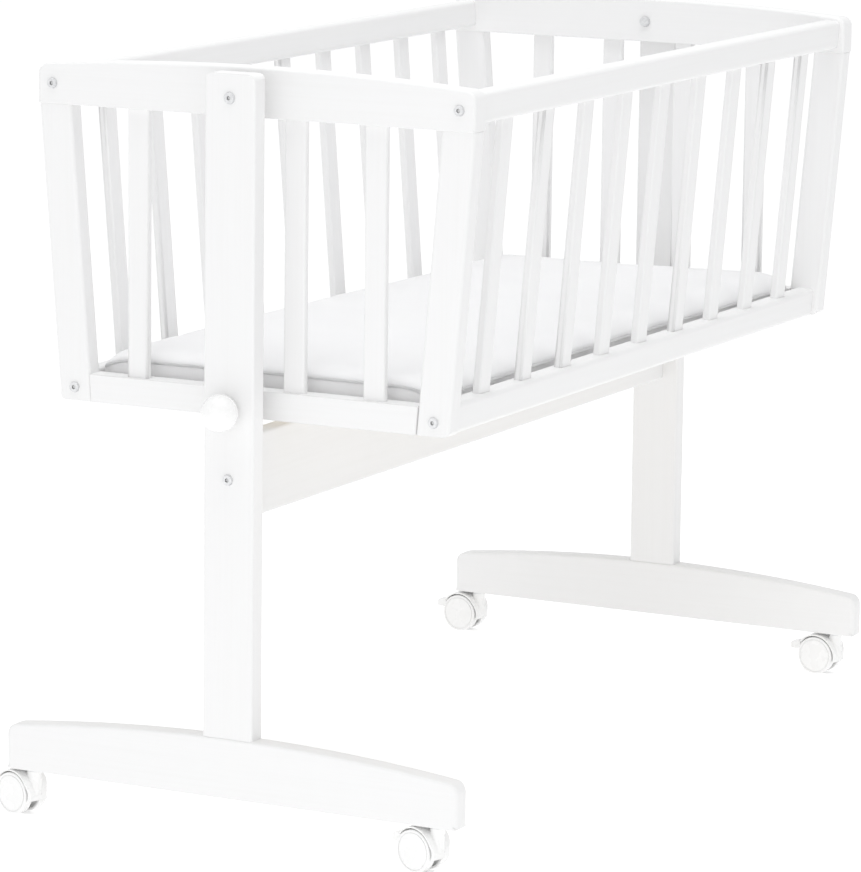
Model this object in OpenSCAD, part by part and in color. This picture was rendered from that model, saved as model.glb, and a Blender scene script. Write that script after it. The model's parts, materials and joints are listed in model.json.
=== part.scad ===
// Swinging cradle on a rolling stand: a slatted basket with leaning sides hangs
// between two posts on pivot bolts, and a clamp screw under one knob holds it still.
// Millimetres, +Z up. The origin lies on the floor, midway between the four casters.
// +X runs along the basket, the left end is at -X and the front long side at -Y.

/* [Mattress] */
// Length of the mattress, which sets the length of the basket
mattress_l = 898; // [800:2:1010]
// Width of the mattress, which sets the width of the basket
mattress_w = 384; // [340:2:430]
// Height of the mattress at its edge
mattress_h = 36; // [25:1:50]
// Rise of the crown of the mattress above its edge
mattress_crown = 3; // [0:1:12]
// How far the sides of the mattress draw in between its corners
mattress_draw = 3; // [0:1:6]
// Radius of the corners of the mattress, seen from above
mattress_corner_r = 22; // [12:1:40]
// Gap between the mattress and an end panel
mattress_end_gap = 4; // [1:0.5:10]
// Gap between the mattress and the bottom rail of a long side
mattress_side_gap = 2.1; // [0.5:0.1:8]

/* [Basket] */
// Height of the underside of the basket above the floor
basket_z = 430; // [380:1:480]
// Outward lean of the long sides, in degrees
side_lean = 4.6; // [2:0.2:7]
// Height of the upper corner bolts above the underside of the top rails
top_bolt_rise = 21; // [19:1:23]
// Height of the lower corner bolts above the underside of the basket
low_bolt_rise = 14; // [12:1:16]

/* [End panels] */
// Thickness of the corner posts and the bottom rail
panel_t = 22; // [20:1:24]
// Width of a corner post
corner_w = 37; // [34:1:40]
// Radius of the long edges of the corner posts
corner_edge_r = 4; // [2:0.5:6]
// Radius of the lower outer corner of each corner post
corner_foot_r = 8; // [5:1:12]
// Thickness of the arched top rail
top_rail_t = 25; // [23:1:28]
// How far the top rail stands proud of the corner posts
top_rail_proud = 1.5; // [0.5:0.5:2]
// How far the ends of the top rail pass the upper corner bolts
top_rail_over = 17.5; // [14:0.5:26]
// Height of the underside of the top rail above the floor
top_rail_z = 732; // [650:1:820]
// Height of the top rail at its ends
top_rail_end_h = 40; // [38:1:46]
// Rise of the arch of the top rail
top_rail_crown = 10; // [6:1:16]
// Radius of the upper corners of the top rail
top_rail_r = 11; // [8:1:16]
// Height of the bottom rail of an end panel
end_rail_h = 28.5; // [26:0.5:34]
// Number of slats in an end panel
end_slats_n = 4; // [3:1:5]
// Distance of the outer slats of an end panel from the upper corner bolts
end_slat_margin = 95; // [85:1:120]

/* [Long sides] */
// Thickness of the rails of the long sides
side_rail_t = 22; // [20:1:24]
// Height of the top rail of a long side
side_top_h = 31; // [29:1:34]
// Height of the bottom rail of a long side
side_low_h = 31; // [29:1:34]
// Height of the middle of the top rail above its bolts
side_top_rise = 0; // [-1:0.5:3]
// Height of the middle of the bottom rail above its bolts
side_low_rise = 1; // [0:0.5:3]
// Radius of the long edges of these rails
side_edge_r = 5; // [2:0.5:7]
// Number of slats in a long side
side_slats_n = 9; // [5:1:10]
// Distance of the outer slats of a long side from the end panels
side_slat_margin = 79.4; // [60:0.2:100]

/* [Slats] */
// Width of a slat
slat_w = 24; // [18:1:26]
// Thickness of a slat
slat_t = 9; // [6:0.5:10]
// Radius of the long edges of a slat
slat_edge_r = 2.5; // [1:0.5:2.8]
// Depth of the mortises that hold the ends of the slats
mortise_d = 8; // [5:1:10]

/* [Base] */
// Height of a ledger
ledger_h = 8; // [6:1:9]
// Width of a ledger at its top
ledger_w = 12; // [10:1:16]
// Thickness of a base slat
base_slat_t = 5; // [4:0.5:7]
// Width of a base slat
base_slat_w = 60; // [40:5:70]
// Number of base slats
base_slats_n = 9; // [6:1:10]

/* [Stand] */
// Gap between a stand post and the top rail of the basket
post_gap = 22; // [18:1:28]
// Width of a stand post
post_w = 57; // [50:1:70]
// Thickness of a stand post
post_t = 22; // [20:1:28]
// Height of the pivot above the underside of the top rails
pivot_rise = 23.5; // [20:0.5:27]
// Height of the top of a stand post above the pivot
post_over_pivot = 24; // [18:1:40]
// Radius of the upper corners of a stand post
post_top_r = 8; // [4:1:14]
// Radius of the long edges of a stand post
post_edge_r = 3; // [1:0.5:5]
// Length of a foot bar
foot_l = 520; // [480:10:600]
// Thickness of a foot bar
foot_t = 24; // [22:1:30]
// Height of a foot bar at its ends
foot_end_h = 46; // [42:1:55]
// Rise of the arch of a foot bar
foot_crown = 16; // [8:1:24]
// Radius of the upper corners of a foot bar
foot_r = 12; // [8:1:18]
// Height of the stretcher board
stretcher_h = 85; // [70:1:95]
// Thickness of the stretcher board
stretcher_t = 20; // [18:1:24]
// Gap between the stretcher and the underside of the basket
stretcher_gap = 13; // [6:1:30]
// Radius of the long edges of the stretcher
stretcher_edge_r = 3; // [1:0.5:5]
// Distance of the stretcher's dowels from its long edges
dowel_margin = 17; // [12:1:22]

/* [Fasteners] */
// Diameter of the furniture bolts
bolt_d = 6; // [5:0.5:7]
// Diameter of a bolt head
bolt_head_d = 11.5; // [10:0.5:13]
// Height of a bolt head
bolt_head_h = 2.4; // [2:0.2:3]
// Length of a corner bolt under its head
corner_bolt_l = 70; // [60:1:80]
// Length of a stretcher bolt under its head
stretcher_bolt_l = 80; // [70:1:90]
// Diameter of a barrel nut
barrel_d = 10; // [9:0.5:11]
// Length of a barrel nut
barrel_l = 14; // [12:1:15]
// Diameter of the dowels of the basket and the stretcher
dowel_d = 8; // [6:1:9]
// Diameter of the dowels between post and foot bar
foot_dowel_d = 10; // [8:1:12]
// Diameter of the pivot bolts
pivot_d = 8; // [7:0.5:9]
// Outer diameter of the pivot bushes
bush_d = 12; // [11:0.5:14]
// Outer diameter of the spacers between post and basket
spacer_d = 22; // [18:1:26]

/* [Lock] */
// Diameter of the ball knob
knob_d = 37; // [30:1:42]
// Distance of the middle of the ball from the face of the post
knob_out = 17.5; // [15:0.5:19]
// Diameter of the clamp screw
lock_d = 8; // [7:0.5:10]
// Outer diameter of the threaded insert in the post
insert_d = 13; // [12:0.5:15]
// Length of the threaded insert
insert_l = 16; // [12:1:18]
// Gap between the tip of the open screw and the basket
lock_gap = 0.4; // [0.3:0.1:1]

/* [Casters] */
// Diameter of a caster wheel
wheel_d = 43.5; // [38:0.5:49]
// Height of the underside of the foot bars above the wheels
caster_clear = 5; // [4.5:0.5:10]
// Width of one wheel
wheel_w = 10; // [7:0.5:11]
// Gap between the two wheels of a caster
wheel_gap = 11; // [9.5:0.5:12]
// Distance from the swivel axis back to the axle
trail = 19; // [18:0.5:22]
// Distance of a swivel axis from the end of its foot bar
caster_inset = 27; // [22:1:60]
// Turn of the two left casters in the rest pose, in degrees
left_turn = 15; // [-60:1:60]
// Turn of the two right casters in the rest pose, in degrees
right_turn = 5; // [-60:1:60]
// Diameter of the kingpin
kingpin_d = 6; // [5:0.5:6]
// Diameter of the axle
axle_d = 5; // [4:0.5:6]
// Wall of the hood over the wheels
hood_t = 1.7; // [1.2:0.1:2]
// Reach of a brake pedal behind its axle
pedal_reach = 38; // [34:1:44]
// Width of a brake pedal
pedal_w = 13; // [10:0.5:16]

/* [Hidden] */
$fn = 72;

// Sides: left and front are -1, right and back are +1
LEFT = -1;
RIGHT = 1;
FRONT = -1;
BACK = 1;

// Clearances
glue_gap = 0.1;
bolt_gap = 0.2;
run_gap = 0.05;
side_gap = 0.3;
bore_room = 2;
cut = 1;

// Details of the fasteners
head_taper = 1.6;
socket_d = 4.6;
socket_depth = 1.5;
nut_from_tip = 14;

// Places that follow from the sizes above
basket_l = mattress_l + 2 * (mattress_end_gap + panel_t);
end_x = basket_l / 2;
end_in_x = end_x - panel_t;
top_out_x = end_x + top_rail_proud;
top_in_x = top_out_x - top_rail_t;
panel_mid_x = end_x - panel_t / 2;
post_in_x = top_out_x + post_gap;
post_out_x = post_in_x + post_t;
post_mid_x = (post_in_x + post_out_x) / 2;
top_bolt_z = top_rail_z + top_bolt_rise;
low_bolt_z = basket_z + low_bolt_rise;
pivot_z = top_rail_z + pivot_rise;
post_top_z = pivot_z + post_over_pivot;
end_rail_top_z = basket_z + end_rail_h;
side_top_mid_z = top_bolt_z + side_top_rise;
side_low_mid_z = low_bolt_z + side_low_rise;
caster_h = wheel_d + caster_clear;
foot_z = caster_h;
seat_depth = 0.4;
seat_z = foot_z + foot_end_h + foot_crown - seat_depth;
stretcher_z = basket_z - stretcher_gap - stretcher_h;
stretcher_mid_z = stretcher_z + stretcher_h / 2;
stretcher_bolt_z = stretcher_mid_z;
lock_rise = 0.5;
lock_z = basket_z + end_rail_h / 2 + lock_rise;
caster_x = post_mid_x;
caster_y = foot_l / 2 - caster_inset;
slope = tan(side_lean);
corner_half = corner_w / 2 / cos(side_lean);
rail_in = side_rail_t / 2 / cos(side_lean);

// The ledgers, the base on them and the mattress on the base
ledger_rise = 1;
ledger_z = side_low_mid_z - side_low_h / 2 + ledger_rise;
ledger_top_z = ledger_z + ledger_h;
base_top_z = ledger_top_z + base_slat_t;
mattress_z = base_top_z + side_gap;

// The bottom rails stand beside the mattress, which places the leaning sides
bolt_y = mattress_w / 2 + mattress_side_gap + rail_in + slope * (top_bolt_z - mattress_z);
top_rail_half = bolt_y + top_rail_over;
end_slat_pitch = 2 * (bolt_y - end_slat_margin) / (end_slats_n - 1);
side_slat_pitch = 2 * (end_in_x - side_slat_margin) / (side_slats_n - 1);

// Height along a leaning side, counted from its upper bolts
function along(z) = (z - top_bolt_z) / cos(side_lean);
// Middle line of a leaning side at a height
function side_y(z) = bolt_y - slope * (top_bolt_z - z);
// Slat places about the middle
function spread(n, pitch) = [for (i = [0:n - 1]) (i - (n - 1) / 2) * pitch];

// Shared shapes
module round_rect(w, h, r) {
    square([w - 2 * r, h], center = true);
    square([w, h - 2 * r], center = true);
    for (sx = [-1, 1], sy = [-1, 1])
        translate([sx * (w / 2 - r), sy * (h / 2 - r)]) circle(r = r);
}

// A flat outline in Y and Z, made into a board from x to x + t
module board(x, t) {
    translate([x, 0, 0]) rotate([90, 0, 90]) linear_extrude(t) children();
}

// A board's outline with an arched top edge and round upper corners on the arch
module arched(half, end_h, crown, r) {
    arch_r = (half * half + crown * crown) / (2 * crown);
    arch_z = end_h + crown - arch_r;
    // The corner circles stand a hair proud, so that the arch cuts them instead of touching
    corner_z = arch_z + sqrt(pow(arch_r - r + 0.1, 2) - pow(half - r, 2));
    touch_y = (half - r) * arch_r / (arch_r - r);
    intersection() {
        union() {
            translate([-half, 0]) square([2 * half, corner_z]);
            translate([-touch_y, 0]) square([2 * touch_y, end_h + crown]);
            for (s = [-1, 1]) translate([s * (half - r), corner_z]) circle(r = r);
        }
        translate([0, arch_z]) circle(r = arch_r, $fn = 360);
    }
}

module rod_x(d, x, l) {
    translate([x, 0, 0]) rotate([0, 90, 0]) cylinder(d = d, h = l);
}

module rod_y(d, y, l) {
    translate([0, y, 0]) rotate([-90, 0, 0]) cylinder(d = d, h = l);
}

// The frame of a leaning long side: its own Z runs up the slats
module leaning(side) {
    translate([0, side * bolt_y, top_bolt_z]) rotate([-side * side_lean, 0, 0]) children();
}

// One end of the object, drawn at the right and mirrored to the left
module at_end(end) {
    mirror([end < 0 ? 1 : 0, 0, 0]) children();
}

// A bolt along +X with its head's seat at x = 0 and its head at x > 0
module bolt(d, l, head_d, head_h) {
    difference() {
        union() {
            rod_x(d, -l, l);
            rotate([0, 90, 0]) cylinder(d1 = head_d, d2 = head_d - head_taper, h = head_h);
        }
        translate([head_h - socket_depth, 0, 0])
            rotate([0, 90, 0]) cylinder(d = socket_d, h = socket_depth + cut, $fn = 6);
    }
}

// Slats and mortises
module slat_bar(l, grow) {
    linear_extrude(l, center = true)
        round_rect(slat_w + 2 * grow, slat_t + 2 * grow, slat_edge_r + grow);
}

module end_slat_set(z_low, z_high, grow) {
    for (y = spread(end_slats_n, end_slat_pitch))
        translate([panel_mid_x, y, (z_low + z_high) / 2])
            rotate([0, 0, 90]) slat_bar(z_high - z_low, grow);
}

module side_slat_set(side, w_low, w_high, grow) {
    leaning(side)
        for (x = spread(side_slats_n, side_slat_pitch))
            translate([x, 0, (w_low + w_high) / 2]) slat_bar(w_high - w_low, grow);
}

side_top_w = along(side_top_mid_z);
side_low_w = along(side_low_mid_z);
slat_low_w = side_low_w + side_low_h / 2 - mortise_d;
slat_high_w = side_top_w - side_top_h / 2 + mortise_d;

// Dowels of an end panel, which tie its corner posts to its two rails
post_dowel_l = 32;
post_dowel_below = 0.6 * post_dowel_l;
post_dowel_w = along(top_rail_z);
rail_dowel_l = 30;
rail_dowel_inside = 0.7 * rail_dowel_l;
function rail_dowel_y() = side_y(lock_z) - corner_half;

module end_dowel_set(grow) {
    for (side = [FRONT, BACK]) {
        leaning(side)
            translate([panel_mid_x, 0, post_dowel_w - post_dowel_below - grow])
                cylinder(d = dowel_d + 2 * grow, h = post_dowel_l + 2 * grow);
        mirror([0, side < 0 ? 1 : 0, 0])
            translate([panel_mid_x, 0, lock_z])
                rod_y(dowel_d + 2 * grow, rail_dowel_y() - rail_dowel_inside - grow,
                    rail_dowel_l + 2 * grow);
    }
}

// Bolts that hold the end panels to the long sides
module corner_bolt_places(side) {
    for (z = [top_bolt_z, low_bolt_z])
        translate([z == top_bolt_z ? top_out_x : end_x, side * side_y(z), z]) children();
}

module corner_bolt_holes() {
    for (side = [FRONT, BACK])
        corner_bolt_places(side) rod_x(bolt_d + 2 * bolt_gap, -corner_bolt_l - bore_room,
            corner_bolt_l + bore_room + cut);
}

// Barrel nuts stand upright in the leaning rails, bored from below
nut_inset = corner_bolt_l - nut_from_tip;
module corner_nut_set(side, grow) {
    for (top = [true, false])
        leaning(side)
            translate([(top ? top_out_x : end_x) - nut_inset, 0,
                along(top ? top_bolt_z : low_bolt_z)])
                rotate([0, 0, 90])
                    translate([0, 0, -barrel_l / 2 - (grow > 0 ? side_top_h : 0)])
                        cylinder(d = barrel_d + 2 * grow,
                            h = barrel_l + (grow > 0 ? side_top_h + grow : 0));
}

// End panels
module end_top_rail(end) {
    color("white") at_end(end) difference() {
        board(top_in_x, top_rail_t) translate([0, top_rail_z])
            arched(top_rail_half, top_rail_end_h, top_rail_crown, top_rail_r);
        translate([0, 0, pivot_z])
            rod_x(bush_d + 2 * glue_gap, top_in_x - cut, top_rail_t + 2 * cut);
        corner_bolt_holes();
        end_slat_set(end_rail_top_z, top_rail_z + mortise_d + glue_gap, glue_gap);
        end_dowel_set(glue_gap);
    }
}

module end_bottom_rail(end) {
    low = side_y(basket_z) - corner_half;
    high = side_y(end_rail_top_z) - corner_half;
    color("white") at_end(end) difference() {
        board(end_in_x, panel_t)
            polygon([[-low, basket_z], [low, basket_z],
                [high, end_rail_top_z], [-high, end_rail_top_z]]);
        end_slat_set(end_rail_top_z - mortise_d - glue_gap, top_rail_z, glue_gap);
        end_dowel_set(glue_gap);
    }
}

module end_slats(end) {
    color("white") at_end(end)
        end_slat_set(end_rail_top_z - mortise_d, top_rail_z + mortise_d, 0);
}

// What is cut off to round the lower outer corner of a corner post
module foot_corner_cut() {
    out = side_y(basket_z + corner_foot_r) + corner_half;
    mid_y = out - corner_foot_r / cos(side_lean);
    mid_z = basket_z + corner_foot_r;
    touch_y = mid_y + corner_foot_r * cos(side_lean);
    touch_z = mid_z - corner_foot_r * sin(side_lean);
    board(end_in_x - cut, panel_t + 2 * cut) difference() {
        polygon([[mid_y, basket_z - cut], [touch_y + cut, basket_z - cut],
            [touch_y + cut, touch_z], [touch_y, touch_z], [mid_y, mid_z]]);
        translate([mid_y, mid_z]) circle(r = corner_foot_r);
    }
}

module corner_post(end, side) {
    post_h = top_rail_z - basket_z;
    color("white") at_end(end) difference() {
        intersection() {
            leaning(side)
                translate([panel_mid_x, 0, along(basket_z) - corner_w])
                    linear_extrude(post_h + 2 * corner_w)
                        round_rect(panel_t, corner_w, corner_edge_r);
            translate([0, -foot_l, basket_z]) cube([basket_l, 2 * foot_l, post_h]);
        }
        mirror([0, side < 0 ? 1 : 0, 0]) foot_corner_cut();
        corner_bolt_holes();
        end_dowel_set(glue_gap);
    }
}

module end_dowels() {
    color("burlywood") for (end = [LEFT, RIGHT]) at_end(end) end_dowel_set(0);
}

module corner_bolts() {
    color("silver") for (end = [LEFT, RIGHT], side = [FRONT, BACK])
        at_end(end) corner_bolt_places(side)
            bolt(bolt_d, corner_bolt_l, bolt_head_d, bolt_head_h);
}

module corner_nuts() {
    color("silver") for (end = [LEFT, RIGHT], side = [FRONT, BACK])
        at_end(end) difference() {
            corner_nut_set(side, 0);
            corner_bolt_places(side) rod_x(bolt_d + 2 * run_gap, -corner_bolt_l, corner_bolt_l);
        }
}

// Long sides
module side_rail(side, w, h, half) {
    leaning(side) translate([-half, 0, w]) rotate([90, 0, 90])
        linear_extrude(2 * half) round_rect(side_rail_t, h, side_edge_r);
}

module rail_end_cuts(side) {
    for (end = [LEFT, RIGHT]) at_end(end) {
        corner_bolt_holes();
        corner_nut_set(side, glue_gap);
    }
}

module side_top_rail(side) {
    color("white") difference() {
        side_rail(side, side_top_w, side_top_h, top_in_x);
        side_slat_set(side, slat_low_w, slat_high_w + glue_gap, glue_gap);
        rail_end_cuts(side);
    }
}

module side_bottom_rail(side) {
    color("white") difference() {
        side_rail(side, side_low_w, side_low_h, end_in_x);
        side_slat_set(side, slat_low_w - glue_gap, slat_high_w, glue_gap);
        rail_end_cuts(side);
    }
}

module side_slats(side) {
    color("white") side_slat_set(side, slat_low_w, slat_high_w, 0);
}

// Base: a ledger along the inside of each bottom rail carries the loose slats
module ledger(side) {
    low = side_y(ledger_z + side_edge_r) - rail_in - slope * side_edge_r;
    high = side_y(ledger_top_z) - rail_in;
    color("burlywood") mirror([0, side < 0 ? 1 : 0, 0])
        board(-end_in_x + side_gap, 2 * (end_in_x - side_gap))
            polygon([[high - ledger_w, ledger_z], [low, ledger_z],
                [high, ledger_top_z], [high - ledger_w, ledger_top_z]]);
}

base_end_margin = 8;
base_slat_edge_r = base_slat_t / 3;
module base_slats() {
    slat_l = 2 * (side_y(ledger_top_z) - rail_in - side_gap);
    first = end_in_x - base_slat_w / 2 - base_end_margin;
    pitch = 2 * first / (base_slats_n - 1);
    color("burlywood") for (x = spread(base_slats_n, pitch))
        translate([x, 0, ledger_top_z + base_slat_t / 2]) rotate([90, 0, 0])
            linear_extrude(slat_l, center = true)
                round_rect(base_slat_w, base_slat_t, base_slat_edge_r);
}

// Mattress: rings of one rounded outline, drawn in along its sides and crowned on top
edge_r = 7;
corner_steps = 4;
side_steps = 9;
// The corners get tighter towards the crown, down to a smallest radius
corner_tighten = 0.6;
corner_min_r = 4;
crown_shares = [0.12, 0.3, 0.5, 0.7, 0.88];
// A quarter of the outline, as shares of its half sizes: half a side, a corner, half a side
function quarter(a, b, r) = concat(
    [for (i = [0:side_steps - 1]) [a, (b - r) * (i + 0.5) / side_steps]],
    [for (i = [0:corner_steps]) let (q = 90 * i / corner_steps)
        [a - r + r * cos(q), b - r + r * sin(q)]],
    [for (i = [side_steps - 1:-1:0]) [(a - r) * (i + 0.5) / side_steps, b]]);
ring_q = 2 * side_steps + corner_steps + 1;
ring_n = 4 * ring_q;
// The quarters go round counter-clockwise, each second one mirrored
function turned(k, pts) =
    let (q = floor(k / ring_q), i = k % ring_q, p = pts[q % 2 == 0 ? i : ring_q - 1 - i])
    [(q == 0 || q == 3 ? 1 : -1) * p[0], (q < 2 ? 1 : -1) * p[1]];
function drawn_in(p, a, b) = [p[0] * (1 - mattress_draw / a * (1 - pow(p[1] / b, 2))),
    p[1] * (1 - mattress_draw / b * (1 - pow(p[0] / a, 2)))];
function ring(inset, z) =
    let (a = mattress_l / 2 - inset, b = mattress_w / 2 - inset,
        r = max(mattress_corner_r - inset * corner_tighten, corner_min_r), pts = quarter(a, b, r))
    [for (k = [0:ring_n - 1]) let (p = drawn_in(turned(k, pts), a, b)) [p[0], p[1], z]];
// Inset and height of each ring, from the underside over the edge to the crown
mattress_rings = [
    for (q = [0:30:90]) [edge_r * (1 - sin(q)), edge_r * (1 - cos(q))],
    for (q = [0:30:90]) [edge_r * (1 - cos(q)), mattress_h - edge_r + edge_r * sin(q)],
    for (f = crown_shares)
        [edge_r + f * (mattress_w / 2 - edge_r),
            mattress_h + mattress_crown * (1 - pow(1 - f, 2))]];

module mattress() {
    rings = len(mattress_rings);
    z0 = mattress_z;
    points = concat(
        [for (m = mattress_rings) each ring(m[0], z0 + m[1])],
        [[0, 0, z0], [0, 0, z0 + mattress_h + mattress_crown]]);
    under = rings * ring_n;
    faces = concat(
        [for (i = [0:rings - 2], k = [0:ring_n - 1], half = [0, 1])
            let (n = (k + 1) % ring_n, a = i * ring_n, b = a + ring_n)
            half == 0 ? [a + k, b + k, a + n] : [a + n, b + k, b + n]],
        [for (k = [0:ring_n - 1]) [k, (k + 1) % ring_n, under]],
        [for (k = [0:ring_n - 1])
            [under - ring_n + k, under + 1, under - ring_n + (k + 1) % ring_n]]);
    color("ghostwhite") polyhedron(points, faces);
}

// Stand
foot_dowel_l = 64;
foot_dowel_pitch = 28;
module foot_dowel_set(grow) {
    for (s = [-1, 1])
        translate([post_mid_x, s * foot_dowel_pitch / 2, seat_z - foot_dowel_l / 2 - grow])
            cylinder(d = foot_dowel_d + 2 * grow, h = foot_dowel_l + 2 * grow);
}

stretcher_dowel_l = 36;
stretcher_dowel_in = 12;
stretcher_dowel_out = stretcher_dowel_l - stretcher_dowel_in;
stretcher_dowel_pitch = stretcher_h - 2 * dowel_margin;
module stretcher_dowel_set(grow) {
    for (s = [-1, 1])
        translate([0, 0, stretcher_mid_z + s * stretcher_dowel_pitch / 2])
            rod_x(dowel_d + 2 * grow, post_in_x - stretcher_dowel_out - grow,
                stretcher_dowel_l + 2 * grow);
}

module stretcher_bolt_hole() {
    translate([post_out_x, 0, stretcher_bolt_z])
        rod_x(bolt_d + 2 * bolt_gap, -stretcher_bolt_l - bore_room, stretcher_bolt_l + bore_room + cut);
}

stretcher_nut_x = post_out_x - stretcher_bolt_l + nut_from_tip;
// The stretcher's barrel nuts lie across it, bored from the back
module stretcher_nut(grow) {
    translate([stretcher_nut_x, 0, stretcher_bolt_z])
        rod_y(barrel_d + 2 * grow, -barrel_l / 2 - grow,
            barrel_l + grow + (grow > 0 ? stretcher_t : 0));
}

module stand_post(end) {
    post_h = post_top_z - seat_z;
    round_z = post_top_z - post_top_r;
    color("white") at_end(end) difference() {
        translate([post_mid_x, 0, seat_z]) linear_extrude(post_h)
            round_rect(post_t, post_w, post_edge_r);
        for (s = [-1, 1]) board(post_in_x - cut, post_t + 2 * cut) difference() {
            translate([s * (post_w / 2 - post_top_r / 2 + cut / 2), round_z + (post_top_r + cut) / 2])
                square([post_top_r + cut, post_top_r + cut], center = true);
            translate([s * (post_w / 2 - post_top_r), round_z]) circle(r = post_top_r);
        }
        translate([0, 0, pivot_z])
            rod_x(pivot_d + 2 * bolt_gap, post_in_x - cut, post_t + 2 * cut);
        stretcher_bolt_hole();
        stretcher_dowel_set(glue_gap);
        foot_dowel_set(glue_gap);
        if (end == LEFT) translate([0, 0, lock_z]) {
            rod_x(insert_d + 2 * glue_gap, post_in_x - cut, insert_l + cut);
            rod_x(lock_d + 2 * bolt_gap, post_in_x, post_t + cut);
        }
    }
}

module foot_bar(end) {
    color("white") at_end(end) difference() {
        board(post_mid_x - foot_t / 2, foot_t) translate([0, foot_z])
            arched(foot_l / 2, foot_end_h, foot_crown, foot_r);
        translate([post_mid_x, 0, seat_z + seat_depth])
            cube([foot_t + 2 * cut, post_w, 2 * seat_depth], center = true);
        foot_dowel_set(glue_gap);
        for (side = [FRONT, BACK])
            translate([caster_x, side * caster_y, foot_z - cut])
                cylinder(d = stem_d + 2 * glue_gap, h = stem_l + cut + glue_gap);
    }
}

module stretcher() {
    color("white") difference() {
        translate([-post_in_x, 0, stretcher_mid_z]) rotate([90, 0, 90])
            linear_extrude(2 * post_in_x) round_rect(stretcher_t, stretcher_h, stretcher_edge_r);
        for (end = [LEFT, RIGHT]) at_end(end) {
            stretcher_bolt_hole();
            stretcher_dowel_set(glue_gap);
            stretcher_nut(glue_gap);
        }
    }
}

module foot_dowels() {
    color("burlywood") for (end = [LEFT, RIGHT]) at_end(end) foot_dowel_set(0);
}

module stretcher_dowels() {
    color("burlywood") for (end = [LEFT, RIGHT]) at_end(end) stretcher_dowel_set(0);
}

module stretcher_bolts() {
    color("silver") for (end = [LEFT, RIGHT]) at_end(end)
        translate([post_out_x, 0, stretcher_bolt_z])
            bolt(bolt_d, stretcher_bolt_l, bolt_head_d, bolt_head_h);
}

module stretcher_nuts() {
    color("silver") for (end = [LEFT, RIGHT]) at_end(end) difference() {
        stretcher_nut(0);
        translate([post_out_x, 0, stretcher_bolt_z])
            rod_x(bolt_d + 2 * run_gap, -stretcher_bolt_l, stretcher_bolt_l);
    }
}

// Pivots: the bolt stands still in the post, and the basket's bush turns on it
pivot_head_d = bolt_head_d + 1;
pivot_nut_t = 4;
pivot_nut_taper = 2;
pivot_nut_cap = 1.5;
pivot_nut_depth = pivot_nut_t - pivot_nut_cap;
pivot_bolt_l = post_out_x - top_in_x + side_gap + pivot_nut_depth;

module pivot_bolts() {
    color("silver") for (end = [LEFT, RIGHT]) at_end(end)
        translate([post_out_x, 0, pivot_z])
            bolt(pivot_d, pivot_bolt_l, pivot_head_d, bolt_head_h);
}

module pivot_spacers() {
    color("white") for (end = [LEFT, RIGHT]) at_end(end) translate([0, 0, pivot_z])
        difference() {
            rod_x(spacer_d, top_out_x + side_gap, post_gap - side_gap);
            rod_x(pivot_d + 2 * bolt_gap, top_out_x - cut, post_gap + 2 * cut);
        }
}

module pivot_bushes() {
    color("gainsboro") for (end = [LEFT, RIGHT]) at_end(end) translate([0, 0, pivot_z])
        difference() {
            rod_x(bush_d, top_in_x, top_rail_t);
            rod_x(pivot_d + 2 * run_gap, top_in_x - cut, top_rail_t + 2 * cut);
        }
}

module pivot_nuts() {
    seat = top_in_x - side_gap;
    color("silver") for (end = [LEFT, RIGHT]) at_end(end) translate([seat, 0, pivot_z])
        difference() {
            rotate([0, -90, 0])
                cylinder(d1 = pivot_head_d, d2 = pivot_head_d - pivot_nut_taper, h = pivot_nut_t);
            rod_x(pivot_d + 2 * run_gap, -pivot_nut_depth, pivot_nut_t);
        }
}

// Swing lock: a clamp screw in the left post, turned by a ball knob
screw_tip_x = end_x + lock_gap;
screw_grip = 12;
knob_stand = 0.8;
knob_flat = knob_out - knob_stand;

module lock_insert() {
    color("silver") at_end(LEFT) translate([0, 0, lock_z]) difference() {
        rod_x(insert_d, post_in_x, insert_l);
        rod_x(lock_d + 2 * run_gap, post_in_x - cut, insert_l + 2 * cut);
    }
}

module lock_screw() {
    color("silver") at_end(LEFT) translate([0, 0, lock_z])
        rod_x(lock_d, screw_tip_x, post_out_x - screw_tip_x + knob_stand + screw_grip);
}

module lock_knob() {
    color("white") at_end(LEFT) translate([post_out_x + knob_out, 0, lock_z]) difference() {
        sphere(d = knob_d, $fn = 96);
        translate([-knob_flat - knob_d, -knob_d, -knob_d]) cube([knob_d, 2 * knob_d, 2 * knob_d]);
        rod_x(lock_d + 2 * glue_gap, -knob_flat - cut, screw_grip + cut);
    }
}

// Casters, drawn with the swivel axis on Z and the axle behind it at +Y
stem_d = 9;
stem_l = 30;
flange_d = 17;
flange_t = 1.4;
wheel_r = wheel_d / 2;
wheel_room = 1.5;
hood_in_r = wheel_r + wheel_room;
hood_r = hood_in_r + hood_t;
caster_w = 2 * wheel_w + wheel_gap;
web_t = 5;
web_low = 6;
web_hub_r = 6;
web_tail_r = 3.6;
// The web stops halfway into the hood's wall
web_r = hood_in_r + hood_t / 2;
web_rib = 3;
tail_step = 0.6;
web_rear_y = 4;
boss_d = wheel_gap - 2 * side_gap;
turret_d = 15;
boss_low_z = wheel_r - 6;
kingpin_low_z = boss_low_z + 3;
turret_top_z = caster_h - flange_t - side_gap;
lever_y = 11;
lever_z = 12.5;
lever_pin_d = 3;
cheek_t = 1.8;
hood_front_deg = -14;
hood_nose_r = 6;
hood_rear_deg = 38;

module at_caster(end, side) {
    turn = end < 0 ? left_turn : right_turn;
    translate([end * caster_x, side * caster_y, 0]) rotate([0, 0, -turn]) children();
}

// A round solid on the caster's axle, whose outline is drawn as radius and distance
module on_axle() {
    translate([0, trail, wheel_r]) rotate([0, 90, 0]) rotate_extrude() children();
}

// A flat outline behind and above the axle, made into a plate across the caster
module caster_plate(t) {
    translate([-t / 2, trail, wheel_r]) rotate([90, 0, 90]) linear_extrude(t) children();
}

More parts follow.
